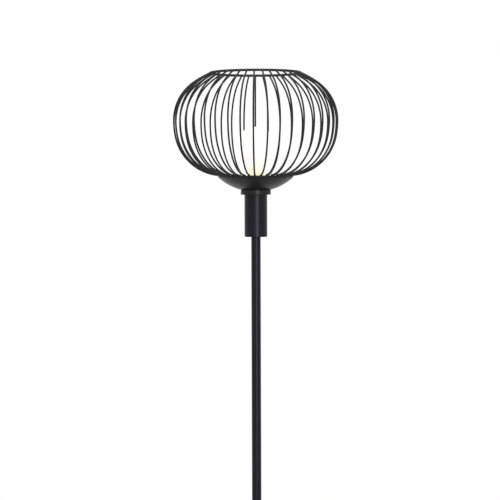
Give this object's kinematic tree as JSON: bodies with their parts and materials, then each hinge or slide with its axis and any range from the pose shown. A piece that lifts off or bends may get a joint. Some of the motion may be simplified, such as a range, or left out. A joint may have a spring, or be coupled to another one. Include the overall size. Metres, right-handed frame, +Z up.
{
  "type": "floor lamp",
  "caption": "Floor lamp with a round weighted foot, thin two-section pole, dish and rounded wire cage round an opal globe bulb.",
  "frame": {"origin": "centre of the foot's felt underside, on the floor", "axes": "+Z up the pole; +Y to the back, where the cord inlet is; -Y is the front"},
  "size_m": [0.3342, 0.3342, 1.5009],
  "materials": {
    "black_powder_coat": "satin powder coat",
    "black_felt": "pressed felt",
    "cast_iron": "as cast",
    "zinc_plate": "bright zinc",
    "black_plastic": "moulded, fine matt",
    "white_nylon": "moulded nylon",
    "porcelain": "unglazed",
    "brass": "stamped",
    "brown_lead": "smooth insulation",
    "blue_lead": "smooth insulation",
    "opal_glass": "opal, lit",
    "nickel_plate": "nickel plate",
    "black_glass": "vitrite",
    "solder": "soldered button",
    "clear_glass": "clear",
    "filament_coat": "phosphor coat"
  },
  "bodies": {
    "stand": {"base_felt": "black_felt", "base_cover": "black_powder_coat", "base_weight": "cast_iron", "base_nipple": "zinc_plate", "base_washer": "zinc_plate", "base_nut": "zinc_plate", "cord_bush": "black_plastic", "terminal_block": "white_nylon", "terminal_block_screws": "zinc_plate", "lower_pole": "black_powder_coat", "lower_pole_foot_plug": "zinc_plate", "lower_pole_top_plug": "zinc_plate", "pole_joiner": "zinc_plate", "upper_pole": "black_powder_coat", "upper_pole_foot_plug": "zinc_plate", "upper_pole_top_plug": "zinc_plate", "holder_cup": "black_powder_coat", "cup_stem": "zinc_plate", "stem_washer": "zinc_plate", "stem_nut": "zinc_plate", "cup_collar": "black_powder_coat", "dish": "black_powder_coat", "holder_cap": "black_plastic", "holder_neck_screw": "zinc_plate", "holder_core": "porcelain", "holder_terminals": "brass", "holder_terminal_screws": "brass", "screw_shell": "brass", "centre_contact": "brass", "holder_skirt": "black_plastic", "shade_ring": "black_plastic", "lead_live": "brown_lead", "lead_neutral": "blue_lead", "cage_top_ring": "black_powder_coat", "cage_bottom_ring": "black_powder_coat", "cage_ribs": "black_powder_coat"},
    "bulb_lift": {"bulb_insulator": "black_glass", "bulb_end_contact": "solder"},
    "bulb": {"bulb_globe": "opal_glass", "bulb_cap": "nickel_plate", "bulb_stem": "clear_glass", "bulb_filaments": "filament_coat"}
  },
  "joints": [
    {"name": "bulb_rise", "type": "slide", "parent": "stand", "child": "bulb_lift", "axis": [0, 0, 1], "range_m": [0, 0.01089]},
    {"name": "bulb_unscrew", "type": "hinge", "parent": "bulb_lift", "child": "bulb", "pos_m": [0, 0, 1.2744], "axis": [0, 0, 1], "range_deg": [0, 1080]}
  ],
  "couplings": [
    {"joint": "bulb_rise", "follows": "bulb_unscrew", "m_per_rad": 0.00057757}
  ]
}
